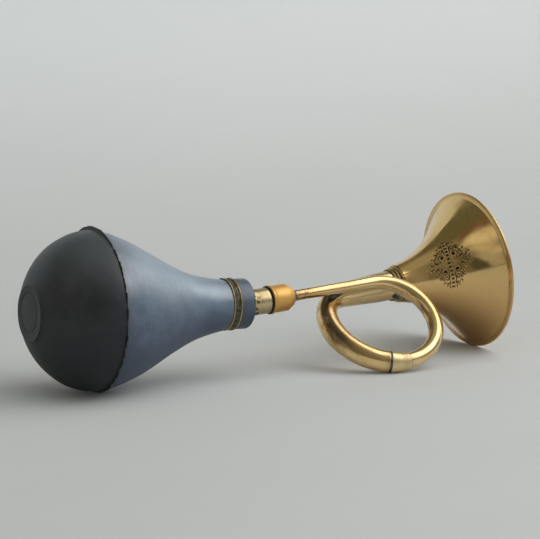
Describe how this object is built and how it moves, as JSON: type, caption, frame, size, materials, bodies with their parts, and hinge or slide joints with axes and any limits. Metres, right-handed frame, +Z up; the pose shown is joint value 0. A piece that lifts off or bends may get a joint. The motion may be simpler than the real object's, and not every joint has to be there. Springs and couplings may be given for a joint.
{
  "type": "bulb horn",
  "caption": "Brass signal horn with a coiled tube and flared bell, blown by squeezing a rubber bulb that screws off with its neck tube to reach a beating reed.",
  "frame": {"origin": "centre of the bounding box's bottom face, on the table plane that the horn rests on", "axes": "+Z up from the table in the resting pose; +X along the horn from the bulb towards the bell; the loop leans towards -Y"},
  "size_m": [0.3212, 0.111, 0.1012],
  "materials": {
    "polished_brass": "polished, lightly tarnished",
    "warm_brass": "lacquered, slightly orange",
    "dull_brass": "dull, tarnished",
    "band_brass": "bright worn edges round a darkened floor",
    "reed_brass": "rolled spring brass",
    "solder": "dull grey soft solder",
    "leather_seal": "oiled",
    "grey_rubber": "matte blue-grey moulded rubber with dusty bloom",
    "black_rubber": "matte black moulded rubber"
  },
  "bodies": {
    "horn": {"bell": "polished_brass", "bell_rim_wire": "dull_brass", "bell_ferrule": "dull_brass", "outlet_tube": "polished_brass", "loop_ferrule": "polished_brass", "inlet_tube": "polished_brass", "coupling_nut": "warm_brass", "coupling_solder": "solder", "loop_solder": "solder", "crossing_solder": "solder", "reed_washer": "leather_seal", "reed_plug": "dull_brass", "reed_shallot": "dull_brass", "reed_clip": "dull_brass"},
    "reed": {"reed_tongue": "reed_brass"},
    "washer": {"coupling_washer": "black_rubber"},
    "bulb_neck": {"nipple": "dull_brass", "neck_band": "band_brass", "neck_cement": "black_rubber", "bulb_cone": "grey_rubber"},
    "bulb_end": {"bulb_dome": "black_rubber"}
  },
  "joints": [
    {"name": "bulb_unscrew_travel", "type": "slide", "parent": "horn", "child": "washer", "axis": [-0.9978, 0, -0.0659], "range_m": [0, 0.0059]},
    {"name": "bulb_unscrew", "type": "hinge", "parent": "washer", "child": "bulb_neck", "pos_m": [-0.00373, -0.00675, 0.04487], "axis": [-0.9978, 0, -0.0659], "range_deg": [0, 2160]},
    {"name": "bulb_squeeze", "type": "slide", "parent": "bulb_neck", "child": "bulb_end", "axis": [0.9991, 0, -0.0431], "range_m": [0, 0.025], "stiffness_N_per_m": 900, "deforming": ["bulb_cone"]},
    {"name": "reed_flex", "type": "hinge", "parent": "horn", "child": "reed", "pos_m": [0.00175, -0.00675, 0.04539], "axis": [0, 1, 0], "range_deg": [-2, 1], "stiffness_Nm_per_rad": 0.02}
  ],
  "couplings": [
    {"joint": "bulb_unscrew_travel", "follows": "bulb_unscrew", "m_per_rad": 0.00015549}
  ]
}
